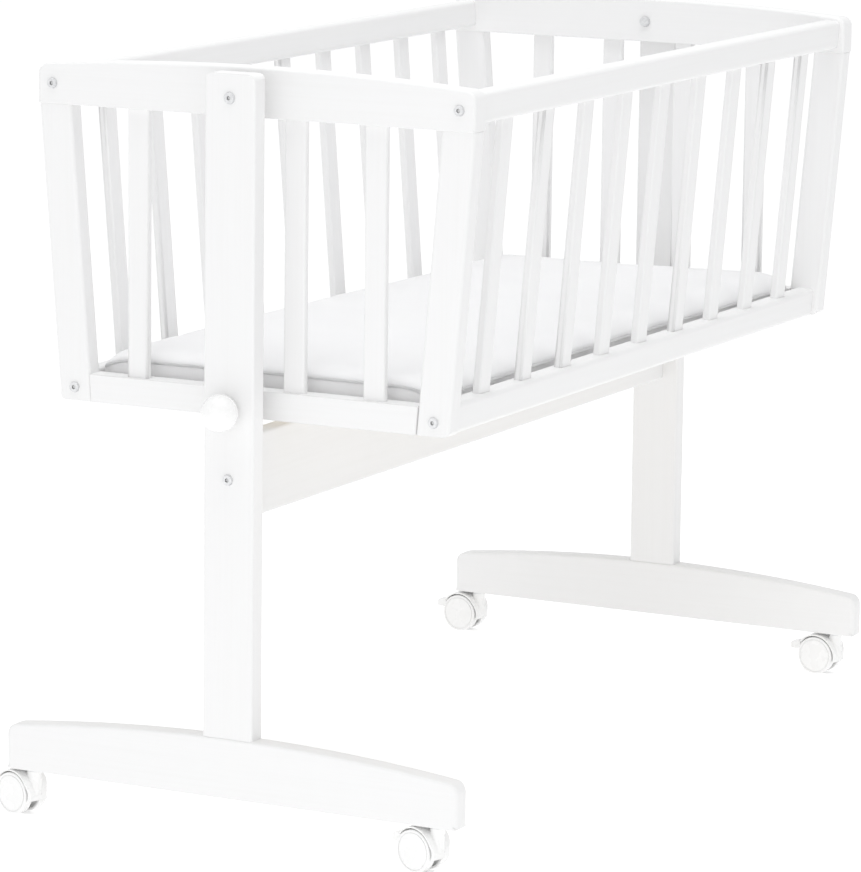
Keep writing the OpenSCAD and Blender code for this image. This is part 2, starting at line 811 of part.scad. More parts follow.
module caster_stems() {
    color("silver") for (end = [LEFT, RIGHT], side = [FRONT, BACK]) at_caster(end, side) {
        translate([0, 0, foot_z]) cylinder(d = stem_d, h = stem_l);
        translate([0, 0, foot_z - flange_t]) cylinder(d = flange_d, h = flange_t);
        translate([0, 0, kingpin_low_z]) cylinder(d = kingpin_d, h = foot_z - kingpin_low_z);
    }
}

// The arc of the hood over the wheels, open below and where the brake lever comes out
module hood_arc(r_in, r_out) {
    reach = 3 * hood_r;
    difference() {
        circle(r = r_out);
        circle(r = r_in);
        polygon([[0, 0], [-reach * cos(hood_front_deg), reach * sin(hood_front_deg)],
            [-reach, -reach], [reach, -reach], [reach * cos(hood_rear_deg), reach * sin(hood_rear_deg)]]);
    }
}

module hood(end, side) {
    color("white") at_caster(end, side) difference() {
        union() {
            intersection() {
                caster_plate(caster_w) hood_arc(hood_in_r, hood_r);
                translate([0, trail, 0]) linear_extrude(caster_h)
                    round_rect(caster_w, 2 * hood_r, hood_nose_r);
            }
            caster_plate(web_t) {
                hood_arc(hood_r - web_rib, web_r);
                intersection() {
                    circle(r = web_r);
                    translate([-hood_r, -web_low])
                        square([hood_r + web_rear_y, hood_r + web_low]);
                }
                circle(r = web_hub_r);
                translate([lever_y, lever_z]) circle(r = web_tail_r);
                square([lever_y, lever_z + web_tail_r - tail_step]);
            }
            translate([0, 0, boss_low_z]) cylinder(d = boss_d, h = turret_top_z - boss_low_z);
            difference() {
                translate([0, 0, wheel_r]) cylinder(d = turret_d, h = turret_top_z - wheel_r);
                translate([-caster_w, trail, wheel_r]) rotate([0, 90, 0])
                    cylinder(r = hood_in_r, h = 2 * caster_w);
            }
        }
        translate([0, 0, kingpin_low_z - side_gap])
            cylinder(d = kingpin_d + 2 * run_gap, h = caster_h);
        translate([-caster_w, trail, wheel_r]) rotate([0, 90, 0])
            cylinder(d = axle_d, h = 2 * caster_w);
        translate([-caster_w, trail + lever_y, wheel_r + lever_z]) rotate([0, 90, 0])
            cylinder(d = lever_pin_d + 2 * run_gap, h = 2 * caster_w);
    }
}

axle_inset = 3;
axle_half = caster_w / 2 - axle_inset;
module axle(end, side) {
    color("silver") at_caster(end, side)
        translate([-axle_half, trail, wheel_r]) rotate([0, 90, 0])
            cylinder(d = axle_d, h = 2 * axle_half);
}

// One wheel: a hub that turns on the axle, a dished web, a tread and a closed outer face
hub_d = 11;
tread_t = 2.6;
tread_edge_r = 1;
face_t = 1.8;
face_overlap = 1.1;
groove_r = wheel_r - 3.4;
groove_w = 0.8;
groove_depth = 0.5;
module wheel(end, side, hand) {
    in = wheel_gap / 2;
    out = caster_w / 2;
    tread_r = wheel_r - tread_t;
    hub_in = web_t / 2 + side_gap;
    hub_out = out - groove_depth;
    bore_r = axle_d / 2 + run_gap;
    color("white") at_caster(end, side) mirror([hand < 0 ? 1 : 0, 0, 0]) on_axle()
        difference() {
            union() {
                translate([tread_r, in + tread_edge_r])
                    square([tread_t, out - in - 2 * tread_edge_r]);
                translate([tread_r, in]) square([tread_t - tread_edge_r, out - in]);
                for (v = [in + tread_edge_r, out - tread_edge_r])
                    translate([wheel_r - tread_edge_r, v]) circle(r = tread_edge_r);
                translate([0, out - face_t]) square([tread_r + face_overlap, face_t]);
                translate([0, hub_in]) square([hub_d / 2, hub_out - hub_in]);
            }
            translate([-cut, hub_in - cut])
                square([cut + bore_r, axle_half + side_gap - hub_in + cut]);
            translate([-cut, in]) square([cut, out]);
            translate([groove_r, out - groove_depth]) square([groove_w, groove_depth + cut]);
        }
}

// Brake lever: a yoke on the web's tail, with a thick foot pedal behind the hood
cheek_r = 3.2;
arm_t = 3;
// How far the arm's edges lie from the middle of the pin
arm_side = 1.3;
arm_over = 2.9;
arm_into_pedal = 2;
pedal_in = wheel_r + 1.6;
pedal_in_z = 7;
pedal_low_z = 3.5;
pedal_top_z = 13.5;
pedal_end_r = 5;
module brake(end, side) {
    cheek_x = web_t / 2 + side_gap;
    arm_end = pedal_in + arm_into_pedal;
    color("white") at_caster(end, side) {
        for (s = [-1, 1])
            translate([s * (cheek_x + cheek_t / 2), 0, 0]) caster_plate(cheek_t) {
                translate([lever_y, lever_z]) circle(r = cheek_r);
                polygon([[lever_y - arm_side, lever_z - arm_over], [arm_end, pedal_in_z],
                    [arm_end, pedal_in_z + arm_t], [lever_y + arm_side, lever_z + arm_over]]);
            }
        translate([-cheek_x - cheek_t, trail + lever_y, wheel_r + lever_z])
            rotate([0, 90, 0]) cylinder(d = lever_pin_d, h = 2 * (cheek_x + cheek_t));
        intersection() {
            caster_plate(pedal_w)
                polygon([[pedal_in, pedal_in_z], [pedal_in + 4, pedal_low_z],
                    [pedal_reach - 2, pedal_low_z], [pedal_reach, pedal_low_z + 2],
                    [pedal_reach - 1, pedal_top_z - 4], [pedal_reach - 4, pedal_top_z - 1.5],
                    [pedal_in + 3, pedal_top_z], [pedal_in + 0.5, pedal_top_z - 1.5]]);
            translate([0, trail + pedal_reach / 2, 0]) linear_extrude(caster_h)
                round_rect(pedal_w, pedal_reach, pedal_end_r);
        }
    }
}

stand_post(LEFT);  // left_post
stand_post(RIGHT);  // right_post
foot_bar(LEFT);  // left_foot_bar
foot_bar(RIGHT);  // right_foot_bar
stretcher();
foot_dowels();
stretcher_dowels();
stretcher_bolts();
stretcher_nuts();
pivot_bolts();
pivot_spacers();
pivot_bushes();
pivot_nuts();
lock_insert();
lock_screw();
lock_knob();
end_top_rail(LEFT);  // left_end_top_rail
end_top_rail(RIGHT);  // right_end_top_rail
end_bottom_rail(LEFT);  // left_end_bottom_rail
end_bottom_rail(RIGHT);  // right_end_bottom_rail
end_slats(LEFT);  // left_end_slats
end_slats(RIGHT);  // right_end_slats
corner_post(LEFT, FRONT);  // left_front_corner_post
corner_post(LEFT, BACK);  // left_back_corner_post
corner_post(RIGHT, FRONT);  // right_front_corner_post
corner_post(RIGHT, BACK);  // right_back_corner_post
side_top_rail(FRONT);  // front_top_rail
side_top_rail(BACK);  // back_top_rail
side_bottom_rail(FRONT);  // front_bottom_rail
side_bottom_rail(BACK);  // back_bottom_rail
side_slats(FRONT);  // front_slats
side_slats(BACK);  // back_slats
ledger(FRONT);  // front_ledger
ledger(BACK);  // back_ledger
base_slats();
mattress();
end_dowels();
corner_bolts();
corner_nuts();
caster_stems();
hood(LEFT, FRONT);  // left_front_hood
axle(LEFT, FRONT);  // left_front_axle
wheel(LEFT, FRONT, LEFT);  // left_front_outer_wheel
wheel(LEFT, FRONT, RIGHT);  // left_front_inner_wheel
brake(LEFT, FRONT);  // left_front_brake
hood(LEFT, BACK);  // left_back_hood
axle(LEFT, BACK);  // left_back_axle
wheel(LEFT, BACK, LEFT);  // left_back_outer_wheel
wheel(LEFT, BACK, RIGHT);  // left_back_inner_wheel
brake(LEFT, BACK);  // left_back_brake
hood(RIGHT, FRONT);  // right_front_hood
axle(RIGHT, FRONT);  // right_front_axle
wheel(RIGHT, FRONT, RIGHT);  // right_front_outer_wheel
wheel(RIGHT, FRONT, LEFT);  // right_front_inner_wheel
brake(RIGHT, FRONT);  // right_front_brake
hood(RIGHT, BACK);  // right_back_hood
axle(RIGHT, BACK);  // right_back_axle
wheel(RIGHT, BACK, RIGHT);  // right_back_outer_wheel
wheel(RIGHT, BACK, LEFT);  // right_back_inner_wheel
brake(RIGHT, BACK);  // right_back_brake
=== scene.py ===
"""Looks of the swinging cradle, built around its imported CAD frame, in metres."""

import json
import math

import bmesh
import bpy
from mathutils import Matrix, Vector
from mathutils.bvhtree import BVHTree

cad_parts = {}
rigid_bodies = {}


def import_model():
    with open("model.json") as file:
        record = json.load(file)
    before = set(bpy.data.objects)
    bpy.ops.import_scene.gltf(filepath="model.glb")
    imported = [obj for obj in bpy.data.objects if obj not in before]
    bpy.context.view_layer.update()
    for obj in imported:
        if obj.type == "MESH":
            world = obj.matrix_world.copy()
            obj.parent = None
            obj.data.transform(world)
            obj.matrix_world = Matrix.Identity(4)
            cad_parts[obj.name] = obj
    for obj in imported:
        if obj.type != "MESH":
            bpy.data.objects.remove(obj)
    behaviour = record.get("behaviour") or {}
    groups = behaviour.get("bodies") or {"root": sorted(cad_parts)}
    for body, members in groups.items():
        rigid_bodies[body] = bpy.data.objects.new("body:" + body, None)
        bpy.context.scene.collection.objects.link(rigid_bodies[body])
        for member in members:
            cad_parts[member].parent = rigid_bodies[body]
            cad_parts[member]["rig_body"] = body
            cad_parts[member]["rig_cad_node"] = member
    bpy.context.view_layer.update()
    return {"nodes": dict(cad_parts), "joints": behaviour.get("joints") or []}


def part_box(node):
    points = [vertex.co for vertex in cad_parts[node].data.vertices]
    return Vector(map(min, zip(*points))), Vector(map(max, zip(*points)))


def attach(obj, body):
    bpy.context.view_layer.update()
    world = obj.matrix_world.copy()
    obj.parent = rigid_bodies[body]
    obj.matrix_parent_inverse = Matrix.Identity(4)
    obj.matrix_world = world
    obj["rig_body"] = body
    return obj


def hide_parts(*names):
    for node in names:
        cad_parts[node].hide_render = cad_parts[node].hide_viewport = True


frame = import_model()
NODES = frame["nodes"]
SCENE = bpy.context.scene
MM = 0.001

# Corner names of the four casters
CORNERS = ("left_front", "left_back", "right_front", "right_back")


# ---- Camera ----
CAM_PLACE = (-4.69306, -2.35989, 1.27859)
CAM_YAW, CAM_PITCH, CAM_ROLL = 27.091, -10.146, 0.68
# Lens and sensor in mm: the sensor lies across the picture's width
CAM_LENS = 205.117
CAM_SENSOR = 36
CAM_CLIP = (0.05, 200)


def camera():
    """The camera of the photograph: yaw from +X, pitch up, roll about the view."""
    yaw, pitch, roll = (math.radians(a) for a in (CAM_YAW, CAM_PITCH, CAM_ROLL))
    level = math.cos(pitch)
    ahead = Vector((math.cos(yaw) * level, math.sin(yaw) * level, math.sin(pitch)))
    right = Vector((math.sin(yaw), -math.cos(yaw), 0))
    up = right.cross(ahead)
    rolled_right = right * math.cos(roll) + up * math.sin(roll)
    rolled_up = up * math.cos(roll) - right * math.sin(roll)
    data = bpy.data.cameras.new("camera")
    data.sensor_fit = "HORIZONTAL"
    data.sensor_width = CAM_SENSOR
    data.lens = CAM_LENS
    data.clip_start, data.clip_end = CAM_CLIP
    obj = bpy.data.objects.new("camera", data)
    turn = Matrix((rolled_right, rolled_up, -ahead)).transposed().to_4x4()
    obj.matrix_world = Matrix.Translation(CAM_PLACE) @ turn
    SCENE.collection.objects.link(obj)
    SCENE.camera = obj


# ---- Light, world and floor ----
WHITE = (1, 1, 1, 1)
WORLD_LIGHT = 0.66
WORLD_TINT = (0.985, 0.99, 1, 1)
FLOOR_HALF = 9.0
FLOOR_COLOUR = (0.93, 0.93, 0.93, 1)
FLOOR_GLOW = 0.33
# Only what the camera and mirrors see of the floor is lifted by this much more
FLOOR_LIFT = 0.09
# Square area lights: name, place, point they face, side, power in watts
LIGHTS = (
    ("top", (-0.3, -0.2, 3.2), (0, 0, 0.4), 2.6, 38),
    ("left", (-4.6, -0.2, 1.6), (0, 0, 0.35), 2.6, 16),
    ("front", (-3.2, -1.3, 0.35), (0.5, 0, 0.15), 0.6, 4),
)


def area_light(name, place, target, side, power):
    data = bpy.data.lights.new(name, "AREA")
    data.shape = "SQUARE"
    data.size = side
    data.energy = power
    obj = bpy.data.objects.new(name, data)
    obj.location = place
    towards = Vector(target) - Vector(place)
    obj.rotation_euler = towards.to_track_quat("-Z", "Y").to_euler()
    SCENE.collection.objects.link(obj)


def seen_ray(tree):
    """1 for rays from the camera, and for reflected and transmitted ones."""
    path = tree.nodes.new("ShaderNodeLightPath")
    best = path.outputs["Is Camera Ray"]
    for other in ("Is Glossy Ray", "Is Transmission Ray"):
        top = tree.nodes.new("ShaderNodeMath")
        top.operation = "MAXIMUM"
        tree.links.new(best, top.inputs[0])
        tree.links.new(path.outputs[other], top.inputs[1])
        best = top.outputs[0]
    return best


def world():
    """Soft light from all round, seen as plain white."""
    made = bpy.data.worlds.new("studio")
    made.use_nodes = True
    tree = made.node_tree
    tree.nodes.clear()
    out = tree.nodes.new("ShaderNodeOutputWorld")
    mix = tree.nodes.new("ShaderNodeMixShader")
    soft = tree.nodes.new("ShaderNodeBackground")
    soft.inputs["Color"].default_value = WORLD_TINT
    soft.inputs["Strength"].default_value = WORLD_LIGHT
    white = tree.nodes.new("ShaderNodeBackground")
    white.inputs["Color"].default_value = WHITE
    white.inputs["Strength"].default_value = 1.0
    tree.links.new(seen_ray(tree), mix.inputs[0])
    tree.links.new(soft.outputs[0], mix.inputs[1])
    tree.links.new(white.outputs[0], mix.inputs[2])
    tree.links.new(mix.outputs[0], out.inputs["Surface"])
    SCENE.world = made


def floor():
    """A pale floor that glows a little, like the lit floor of a studio, and still takes shadows."""
    mesh = bpy.data.meshes.new("floor")
    h = FLOOR_HALF
    mesh.from_pydata([(-h, -h, 0), (h, -h, 0), (h, h, 0), (-h, h, 0)], [], [(0, 1, 2, 3)])
    obj = bpy.data.objects.new("floor", mesh)
    SCENE.collection.objects.link(obj)
    mat = bpy.data.materials.new("studio_floor")
    mat.use_nodes = True
    tree = mat.node_tree
    tree.nodes.clear()
    out = tree.nodes.new("ShaderNodeOutputMaterial")
    add = tree.nodes.new("ShaderNodeAddShader")
    matt = tree.nodes.new("ShaderNodeBsdfDiffuse")
    matt.inputs["Color"].default_value = FLOOR_COLOUR
    glow = tree.nodes.new("ShaderNodeEmission")
    lift = tree.nodes.new("ShaderNodeMath")
    lift.operation = "MULTIPLY_ADD"
    lift.inputs[1].default_value = FLOOR_LIFT
    lift.inputs[2].default_value = FLOOR_GLOW
    tree.links.new(seen_ray(tree), lift.inputs[0])
    tree.links.new(lift.outputs[0], glow.inputs["Strength"])
    tree.links.new(matt.outputs[0], add.inputs[0])
    tree.links.new(glow.outputs[0], add.inputs[1])
    tree.links.new(add.outputs[0], out.inputs["Surface"])
    mesh.materials.append(mat)


# ---- Material building ----
BEVEL_SAMPLES = 4


class Shader:
    """A node material with one Principled shader, and short calls to add nodes to it."""

    def __init__(self, name, **constants):
        self.mat = bpy.data.materials.new(name)
        self.mat.use_nodes = True
        self.tree = self.mat.node_tree
        self.tree.nodes.clear()
        self.out = self.tree.nodes.new("ShaderNodeOutputMaterial")
        self.bsdf = self.tree.nodes.new("ShaderNodeBsdfPrincipled")
        self.tree.links.new(self.bsdf.outputs[0], self.out.inputs["Surface"])
        for key, value in constants.items():
            self.bsdf.inputs[key.replace("_", " ")].default_value = value

    def plug(self, value, socket):
        if isinstance(value, bpy.types.NodeSocket):
            self.tree.links.new(value, socket)
        else:
            socket.default_value = value

    def add(self, kind, out=0, settings=(), **inputs):
        node = self.tree.nodes.new("ShaderNode" + kind)
        for key, value in dict(settings).items():
            setattr(node, key, value)
        for key, value in inputs.items():
            key = int(key[1:]) if key[0] == "i" and key[1:].isdigit() else key.replace("_", " ")
            self.plug(value, node.inputs[key])
        return node.outputs[out]

    def coords(self, scale=(1, 1, 1)):
        """The piece's own coordinates in metres, scaled."""
        return self.add("Mapping", Vector=self.add("TexCoord", "Object"), Scale=scale)

    def math(self, operation, a, b=0.0, clamp=False):
        settings = {"operation": operation, "use_clamp": clamp}
        return self.add("Math", settings=settings, i0=a, i1=b)

    def noise(self, vector, scale, detail=3.0, rough=0.55, distort=0.0):
        return self.add("TexNoise", Vector=vector, Scale=scale, Detail=detail,
                        Roughness=rough, Distortion=distort)

    def ramp(self, value, *stops):
        """A colour ramp. A stop is (place, grey level) or (place, colour)."""
        node = self.tree.nodes.new("ShaderNodeValToRGB")
        band = node.color_ramp
        while len(band.elements) < len(stops):
            band.elements.new(0.5)
        for stop, (place, colour) in zip(band.elements, stops):
            stop.position = place
            if isinstance(colour, (int, float)):
                colour = (colour,) * 3
            stop.color = tuple(colour) + (1,)
        self.plug(value, node.inputs["Fac"])
        return node.outputs["Color"]

    def mix(self, fac, a, b):
        node = self.tree.nodes.new("ShaderNodeMixRGB")
        for value, socket in zip((fac, a, b), node.inputs):
            if isinstance(value, tuple) and len(value) == 3:
                value = value + (1,)
            self.plug(value, socket)
        return node.outputs[0]

    def rounded(self, radius):
        """A normal that rounds sharp edges over that radius."""
        return self.add("Bevel", settings={"samples": BEVEL_SAMPLES}, Radius=radius)

    def edges(self, radius):
        """0 on flat faces, rising towards 1 within that radius of a sharp edge."""
        flat = self.add("NewGeometry", "Normal")
        dot = self.add("VectorMath", "Value", settings={"operation": "DOT_PRODUCT"},
                       i0=self.rounded(radius), i1=flat)
        return self.math("MULTIPLY", self.math("SUBTRACT", 1.0, dot), 4.0, clamp=True)

    def bump(self, height, strength, distance, normal=None):
        inputs = {"Height": height, "Strength": strength, "Distance": distance}
        if normal is not None:
            inputs["Normal"] = normal
        return self.add("Bump", **inputs)

    def finish(self, colour, rough, normal):
        for value, key in ((colour, "Base Color"), (rough, "Roughness"), (normal, "Normal")):
            self.plug(value, self.bsdf.inputs[key])
        return self.mat


def along(axis, sizes):
    """Texture scales for features drawn out along one axis: sizes = (along, across) in metres."""
    run, across = sizes
    return tuple(1 / run if i == "XYZ".index(axis) else 1 / across for i in range(3))


# Paint: the plain coat, its brighter patches, thin over the grain, and at the edges partly worn and
# partly darkened by painted shade
PAINT = (0.893, 0.892, 0.890)
PAINT_PATCH = tuple(c * 1.012 for c in PAINT)
PAINT_THIN = (0.858, 0.854, 0.845)
PAINT_WORN_AND_SHADED = (0.81, 0.80, 0.78)
# Sizes along and across the board
GRAIN_SIZES = (0.22, 0.0035)
PORE_SIZES = (0.035, 0.0007)
# Scales of the noises that stand for orange peel, cloudiness, and the patches of edge wear and
# painted edge shade, per metre
PEEL_SCALE, CLOUD_SCALE, WEAR_AND_SHADE_SCALE = 420, 7, 60
WEAR_AND_SHADE_WIDTH = 1.3 * MM
PAINT_EDGE = 0.8 * MM
PAINT_RELIEF = 0.25 * MM


def painted_wood(axis):
    """White satin lacquer on solid wood, with the grain just showing along one axis."""
    s = Shader("painted_wood_" + axis.lower(), IOR=1.48, Specular_IOR_Level=0.42)
    grain = s.noise(s.coords(along(axis, GRAIN_SIZES)), 1.0, 4, 0.6, 0.6)
    pores = s.noise(s.coords(along(axis, PORE_SIZES)), 1.0, 2, 0.5)
    peel = s.noise(s.coords(), PEEL_SCALE, 2, 0.5)
    cloud = s.noise(s.coords(), CLOUD_SCALE, 3, 0.5)
    colour = s.mix(s.ramp(grain, (0.42, 0.0), (0.68, 0.30)), PAINT, PAINT_THIN)
    colour = s.mix(s.ramp(cloud, (0.35, 0.0), (0.75, 0.22)), colour, PAINT_PATCH)
    # Edges darker and warmer in patches: partly worn paint, partly painted shade outlining the
    # edges
    patchy = s.ramp(s.noise(s.coords(), WEAR_AND_SHADE_SCALE, 3), (0.3, 0.25), (0.7, 0.75))
    worn_and_shaded = s.math("MULTIPLY", s.edges(WEAR_AND_SHADE_WIDTH), patchy)
    colour = s.mix(s.math("MULTIPLY", worn_and_shaded, 0.5), colour, PAINT_WORN_AND_SHADED)
    height = s.math("ADD", s.math("MULTIPLY", grain, 0.55), s.math("MULTIPLY", peel, 0.25))
    height = s.math("ADD", height, s.math("MULTIPLY", pores, 0.3))
    uneven = s.math("ADD", s.math("MULTIPLY", grain, 0.5), s.math("MULTIPLY", cloud, 0.5))
    rough = s.ramp(uneven, (0.3, 0.36), (0.7, 0.50))
    return s.finish(colour, rough, s.bump(height, 0.32, PAINT_RELIEF, s.rounded(PAINT_EDGE)))


# Birch: from the dark to the pale side of a growth ring, then paler areas and darker fibres
BIRCH_RING = ((0.05, (0.77, 0.69, 0.58)), (0.45, (0.84, 0.79, 0.70)), (1.0, (0.87, 0.83, 0.76)))
BIRCH_PALE = (0.88, 0.85, 0.79)
BIRCH_FIBRE = (0.70, 0.61, 0.49)
WARP_SIZES = (0.30, 0.03)
RING_SIZES = (1.6, 0.018)
FIBRE_SIZES = (0.05, 0.0006)
BIRCH_EDGE = 0.6 * MM
BIRCH_RELIEF = 0.2 * MM


def bare_wood(axis):
    """Planed birch: growth rings drawn out along the board, and fine darker fibres."""
    s = Shader("bare_birch_" + axis.lower(), IOR=1.45, Specular_IOR_Level=0.3)
    warp = s.noise(s.coords(along(axis, WARP_SIZES)), 1.0, 3, 0.5)
    rings = s.add("TexWave", "Fac", settings={"wave_type": "BANDS", "bands_direction": "DIAGONAL"},
                  Vector=s.coords(along(axis, RING_SIZES)), Scale=1.0, Distortion=9.0,
                  Detail=3.0, Detail_Scale=0.8)
    fibre = s.noise(s.coords(along(axis, FIBRE_SIZES)), 1.0, 3, 0.6)
    colour = s.ramp(rings, *BIRCH_RING)
    colour = s.mix(s.ramp(warp, (0.35, 0.0), (0.8, 0.5)), colour, BIRCH_PALE)
    colour = s.mix(s.ramp(fibre, (0.5, 0.0), (0.8, 0.3)), colour, BIRCH_FIBRE)
    rough = s.ramp(fibre, (0.3, 0.55), (0.7, 0.72))
    height = s.math("ADD", fibre, s.math("MULTIPLY", rings, 0.4))
    return s.finish(colour, rough, s.bump(height, 0.5, BIRCH_RELIEF, s.rounded(BIRCH_EDGE)))


# Zinc plating: its dull and its bright patches, and the painted shade deep in sockets
ZINC_DULL, ZINC_BRIGHT = (0.64, 0.645, 0.655), (0.78, 0.785, 0.79)
ZINC_SOCKET_SHADE = (0.16, 0.158, 0.155)
SOCKET_SHADE_REACH = 2.6 * MM
ZINC_MARKS = (900, 900, 5000)
ZINC_EDGE = 0.35 * MM
ZINC_RELIEF = 0.06 * MM


def plated_steel():
    """Zinc-plated steel: slightly blue, with fine tool marks and painted shade in the sockets."""
    s = Shader("plated_steel", Metallic=1.0)
    marks = s.noise(s.coords(ZINC_MARKS), 1.0, 3, 0.6)
    blotch = s.noise(s.coords(), 380, 4, 0.6)
    socket_shade = s.add("AmbientOcclusion", "AO", settings={"samples": 6, "only_local": True},
                   Distance=SOCKET_SHADE_REACH)
    colour = s.ramp(blotch, (0.3, ZINC_DULL), (0.7, ZINC_BRIGHT))
    # Painted shade: near-black colour in sockets and hollows, wherever the steel is occluded
    colour = s.mix(s.ramp(socket_shade, (0.30, 1.0), (0.80, 0.0)), colour, ZINC_SOCKET_SHADE)
    rough = s.ramp(marks, (0.3, 0.24), (0.7, 0.42))
    return s.finish(colour, rough, s.bump(marks, 0.35, ZINC_RELIEF, s.rounded(ZINC_EDGE)))


BRASS_DARK, BRASS_PALE = (0.62, 0.44, 0.18), (0.76, 0.58, 0.28)
BRASS_MARKS = (3000, 400, 400)
# Depth of the fine marks on brass and on moulded parts, and the rounding of moulded edges
FINE_RELIEF = 0.05 * MM
MOULDED_EDGE = 0.5 * MM


def brass():
    """Turned brass with marks round its axis, which is X."""
    s = Shader("turned_brass", Metallic=1.0)
    marks = s.noise(s.coords(BRASS_MARKS), 1.0, 3, 0.6)
    colour = s.ramp(s.noise(s.coords(), 300, 3), (0.3, BRASS_DARK), (0.7, BRASS_PALE))
    rough = s.ramp(marks, (0.3, 0.25), (0.7, 0.45))
    return s.finish(colour, rough, s.bump(marks, 0.3, FINE_RELIEF))


NYLON_LOW, NYLON_HIGH = (0.80, 0.80, 0.785), (0.86, 0.86, 0.85)


def nylon():
    """Matt moulded nylon, a little uneven."""
    s = Shader("white_nylon", IOR=1.53, Specular_IOR_Level=0.4)
    grit = s.noise(s.coords(), 1500, 3, 0.6)
    cloud = s.noise(s.coords(), 90, 3, 0.5)
    colour = s.ramp(cloud, (0.3, NYLON_LOW), (0.7, NYLON_HIGH))
    rough = s.ramp(cloud, (0.3, 0.42), (0.7, 0.56))
    return s.finish(colour, rough, s.bump(grit, 0.25, FINE_RELIEF, s.rounded(MOULDED_EDGE)))


PLASTIC_LOW, PLASTIC_HIGH = (0.925, 0.924, 0.915), (0.945, 0.945, 0.94)
PLASTIC_SCUFF = (0.87, 0.866, 0.85)
# Radians per metre of radius: a mark every 0.7 mm
RING_RATE = 9000.0


def gloss_plastic(name, ring=None):
    """Moulded white plastic. ring = (centre, axis) adds the faint round marks of a turned mould."""
    s = Shader(name, IOR=1.5, Specular_IOR_Level=0.5, Coat_Weight=0.25, Coat_Roughness=0.12)
    cloud = s.noise(s.coords(), 70, 3, 0.5)
    grit = s.noise(s.coords(), 1900, 2, 0.5)
    height = s.math("MULTIPLY", grit, 0.35)
    if ring:
        centre, axis = ring
        offset = s.add("VectorMath", settings={"operation": "SUBTRACT"},
                       i0=s.add("TexCoord", "Object"), i1=tuple(centre))
        arm = s.add("VectorMath", settings={"operation": "CROSS_PRODUCT"},
                    i0=offset, i1=tuple(axis))
        radius = s.add("VectorMath", "Value", settings={"operation": "LENGTH"}, i0=arm)
        wave = s.math("SINE", s.math("MULTIPLY", radius, RING_RATE))
        height = s.math("ADD", height, s.math("MULTIPLY", wave, 0.10))
    colour = s.ramp(cloud, (0.3, PLASTIC_LOW), (0.7, PLASTIC_HIGH))
    scuff = s.ramp(s.noise(s.coords((1, 1, 6)), 260, 5, 0.7), (0.62, 0.0), (0.85, 0.14))
    colour = s.mix(scuff, colour, PLASTIC_SCUFF)
    rough = s.ramp(cloud, (0.3, 0.22), (0.7, 0.32))
    return s.finish(colour, rough, s.bump(height, 0.22, FINE_RELIEF, s.rounded(MOULDED_EDGE)))


# Cotton cover over pale foam: its tone, the shade between threads, and the slubs
COVER_LOW, COVER_HIGH = (0.915, 0.912, 0.925), (0.935, 0.933, 0.942)
THREAD_SHADE = (0.84, 0.84, 0.86)
SLUB_SHADE = (0.87, 0.868, 0.88)
WEAVE_PITCH = 0.9 * MM
WEAVE_RELIEF = 0.25 * MM
# How far the threads wander sideways, in radians of the weave
WEAVE_DRIFT = 2.2
SLUB_SCALES = (900, 70, 900)
FOAM_REACH = 22 * MM


def woven_cover():
    """Plain-woven cotton cover: crossing threads, slubs, and a soft uneven tone."""
    s = Shader("woven_cover", IOR=1.4, Specular_IOR_Level=0.15, Sheen_Weight=0.35,
               Sheen_Roughness=0.5, Subsurface_Weight=0.9, Subsurface_Radius=(1, 1, 1),
               Subsurface_Scale=FOAM_REACH)
    space = s.coords()
    wander = s.noise(space, 35, 2, 0.5)
    turns = 2 * math.pi / WEAVE_PITCH
    split = s.tree.nodes.new("ShaderNodeSeparateXYZ")
    s.plug(space, split.inputs[0])
    x, y, z = split.outputs
    up_face = s.math("ABSOLUTE", s.add("SeparateXYZ", "Z", i0=s.add("NewGeometry", "Normal")))
    lies = s.math("GREATER_THAN", up_face, 0.6)
    stands = s.math("SUBTRACT", 1.0, lies)
    # On the flat faces the threads cross in X and Y, on the border along it and in Z
    run = s.math("ADD", x, s.math("MULTIPLY", stands, y))
    rise = s.math("ADD", s.math("MULTIPLY", lies, y), s.math("MULTIPLY", stands, z))
    drift = s.math("MULTIPLY", wander, WEAVE_DRIFT)
    warp = s.math("SINE", s.math("ADD", s.math("MULTIPLY", run, turns), drift))
    weft = s.math("SINE", s.math("ADD", s.math("MULTIPLY", rise, turns), drift))
    weave = s.math("MULTIPLY", warp, weft)
    slub = s.noise(s.coords(SLUB_SCALES), 1.0, 3, 0.6)
    cloud = s.noise(space, 9, 4, 0.55)
    colour = s.ramp(cloud, (0.32, COVER_LOW), (0.70, COVER_HIGH))
    between = s.math("ADD", s.math("MULTIPLY", weave, 0.5), 0.5)
    colour = s.mix(s.ramp(between, (0.0, 0.22), (0.6, 0.0)), colour, THREAD_SHADE)
    colour = s.mix(s.ramp(slub, (0.6, 0.0), (0.85, 0.2)), colour, SLUB_SHADE)
    height = s.math("ADD", s.math("MULTIPLY", weave, 0.5), s.math("MULTIPLY", slub, 0.4))
    rough = s.ramp(slub, (0.3, 0.78), (0.7, 0.92))
    return s.finish(colour, rough, s.bump(height, 0.45, WEAVE_RELIEF))


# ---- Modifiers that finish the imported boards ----
WELD_GAP = 0.01 * MM
FLAT_WITHIN = math.radians(0.5)
SHARP_FROM = math.radians(32)
BROKEN_EDGE = 0.8 * MM
BROKEN_SEGMENTS = 3
BOARD_NORMALS, ARCH_NORMALS = 80, 90


